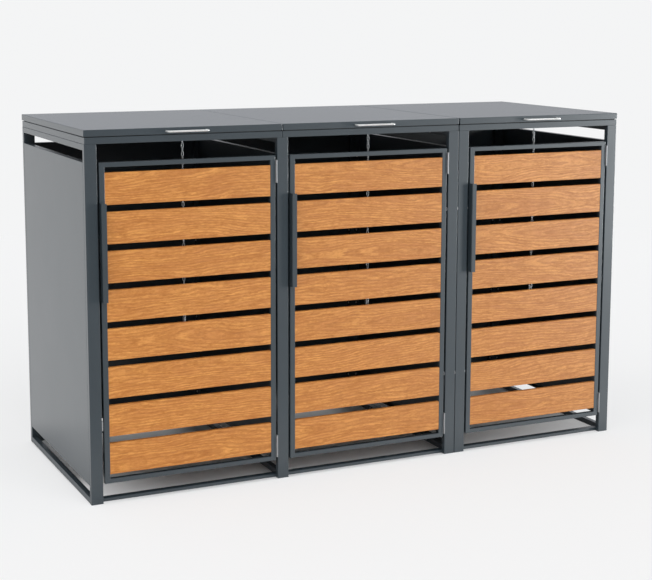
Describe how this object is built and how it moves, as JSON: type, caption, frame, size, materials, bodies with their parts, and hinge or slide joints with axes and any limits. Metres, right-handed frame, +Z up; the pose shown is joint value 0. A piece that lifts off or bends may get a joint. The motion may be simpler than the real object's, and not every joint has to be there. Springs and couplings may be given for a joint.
{
  "type": "wheelie bin store",
  "caption": "Steel garden bin store with slatted wood-look doors, vented folded sheet walls and hinged lids, each lid with a chain that lifts the bin's own lid.",
  "frame": {"origin": "centre of the bottom of the closed store's bounding box, on the floor", "axes": "+X along the front to the right as seen from in front, +Y from the doors to the back, +Z up"},
  "size_m": [2.045, 0.836, 1.2225],
  "materials": {
    "anthracite_powder_coat": "satin fine-textured powder coat",
    "oak_slat": "satin oak grain",
    "polished_stainless": "polished",
    "zinc_plated_steel": "bright zinc plating",
    "seal_rubber": "matt",
    "catch_plastic": "matt moulded"
  },
  "bodies": {
    "store_frame": {"front_post_1": "anthracite_powder_coat", "front_post_2": "anthracite_powder_coat", "front_post_3": "anthracite_powder_coat", "front_post_4": "anthracite_powder_coat", "front_post_5": "anthracite_powder_coat", "back_post_1": "anthracite_powder_coat", "back_post_2": "anthracite_powder_coat", "back_post_3": "anthracite_powder_coat", "back_post_4": "anthracite_powder_coat", "back_post_5": "anthracite_powder_coat", "wall_bottom_rails": "anthracite_powder_coat", "wall_top_rails": "anthracite_powder_coat", "back_bottom_rails": "anthracite_powder_coat", "back_top_rails": "anthracite_powder_coat", "left_wall_panel": "anthracite_powder_coat", "divider_panel_1": "anthracite_powder_coat", "divider_panel_2": "anthracite_powder_coat", "right_wall_panel": "anthracite_powder_coat", "back_panel_1": "anthracite_powder_coat", "back_panel_2": "anthracite_powder_coat", "back_panel_3": "anthracite_powder_coat", "threshold_1": "anthracite_powder_coat", "threshold_2": "anthracite_powder_coat", "threshold_3": "anthracite_powder_coat", "lid_frame_1": "anthracite_powder_coat", "lid_frame_2": "anthracite_powder_coat", "lid_frame_3": "anthracite_powder_coat", "door_hinge_post_leaves": "zinc_plated_steel", "lid_hinge_frame_leaves": "zinc_plated_steel", "lid_seals": "seal_rubber", "door_catches": "catch_plastic", "strike_plate": "zinc_plated_steel", "frame_bolts": "zinc_plated_steel"},
    "door_1": {"door_1_frame": "anthracite_powder_coat", "door_1_slats": "oak_slat", "door_1_handle": "anthracite_powder_coat", "door_1_hinge_leaves": "zinc_plated_steel"},
    "lid_1": {"lid_1_shell": "anthracite_powder_coat", "lid_1_handle": "polished_stainless", "lid_1_hinge_leaves": "zinc_plated_steel", "lid_1_chain_bracket": "zinc_plated_steel"},
    "hanging_chain_1": {"chain_1": "zinc_plated_steel"},
    "door_2": {"door_2_frame": "anthracite_powder_coat", "door_2_slats": "oak_slat", "door_2_handle": "anthracite_powder_coat", "door_2_hinge_leaves": "zinc_plated_steel"},
    "lid_2": {"lid_2_shell": "anthracite_powder_coat", "lid_2_handle": "polished_stainless", "lid_2_hinge_leaves": "zinc_plated_steel", "lid_2_chain_bracket": "zinc_plated_steel"},
    "hanging_chain_2": {"chain_2": "zinc_plated_steel"},
    "door_3": {"door_3_frame": "anthracite_powder_coat", "door_3_slats": "oak_slat", "door_3_handle": "anthracite_powder_coat", "door_3_hinge_leaves": "zinc_plated_steel"},
    "lid_3": {"lid_3_shell": "anthracite_powder_coat", "lid_3_handle": "polished_stainless", "lid_3_hinge_leaves": "zinc_plated_steel", "lid_3_chain_bracket": "zinc_plated_steel"},
    "hanging_chain_3": {"chain_3": "zinc_plated_steel"}
  },
  "joints": [
    {"name": "door_1_hinge", "type": "hinge", "parent": "store_frame", "child": "door_1", "pos_m": [-0.3645, -0.3928, 0.59175], "axis": [0, 0, 1], "range_deg": [0, 105]},
    {"name": "lid_1_hinge", "type": "hinge", "parent": "store_frame", "child": "lid_1", "pos_m": [-0.681, 0.414, 1.2], "axis": [-1, 0, 0], "range_deg": [0, 90]},
    {"name": "chain_1_swing", "type": "hinge", "parent": "lid_1", "child": "hanging_chain_1", "pos_m": [-0.681, -0.35, 1.2055], "axis": [-1, 0, 0], "range_deg": [-90, 0]},
    {"name": "door_2_hinge", "type": "hinge", "parent": "store_frame", "child": "door_2", "pos_m": [0.2955, -0.3928, 0.59175], "axis": [0, 0, 1], "range_deg": [0, 105]},
    {"name": "lid_2_hinge", "type": "hinge", "parent": "store_frame", "child": "lid_2", "pos_m": [-0.001, 0.414, 1.2], "axis": [-1, 0, 0], "range_deg": [0, 90]},
    {"name": "chain_2_swing", "type": "hinge", "parent": "lid_2", "child": "hanging_chain_2", "pos_m": [-0.001, -0.35, 1.2055], "axis": [-1, 0, 0], "range_deg": [-90, 0]},
    {"name": "door_3_hinge", "type": "hinge", "parent": "store_frame", "child": "door_3", "pos_m": [0.9775, -0.3928, 0.59175], "axis": [0, 0, 1], "range_deg": [0, 105]},
    {"name": "lid_3_hinge", "type": "hinge", "parent": "store_frame", "child": "lid_3", "pos_m": [0.681, 0.414, 1.2], "axis": [-1, 0, 0], "range_deg": [0, 90]},
    {"name": "chain_3_swing", "type": "hinge", "parent": "lid_3", "child": "hanging_chain_3", "pos_m": [0.681, -0.35, 1.2055], "axis": [-1, 0, 0], "range_deg": [-90, 0]}
  ],
  "couplings": [
    {"joint": "chain_1_swing", "follows": "lid_1_hinge", "ratio": -1},
    {"joint": "chain_2_swing", "follows": "lid_2_hinge", "ratio": -1},
    {"joint": "chain_3_swing", "follows": "lid_3_hinge", "ratio": -1}
  ]
}
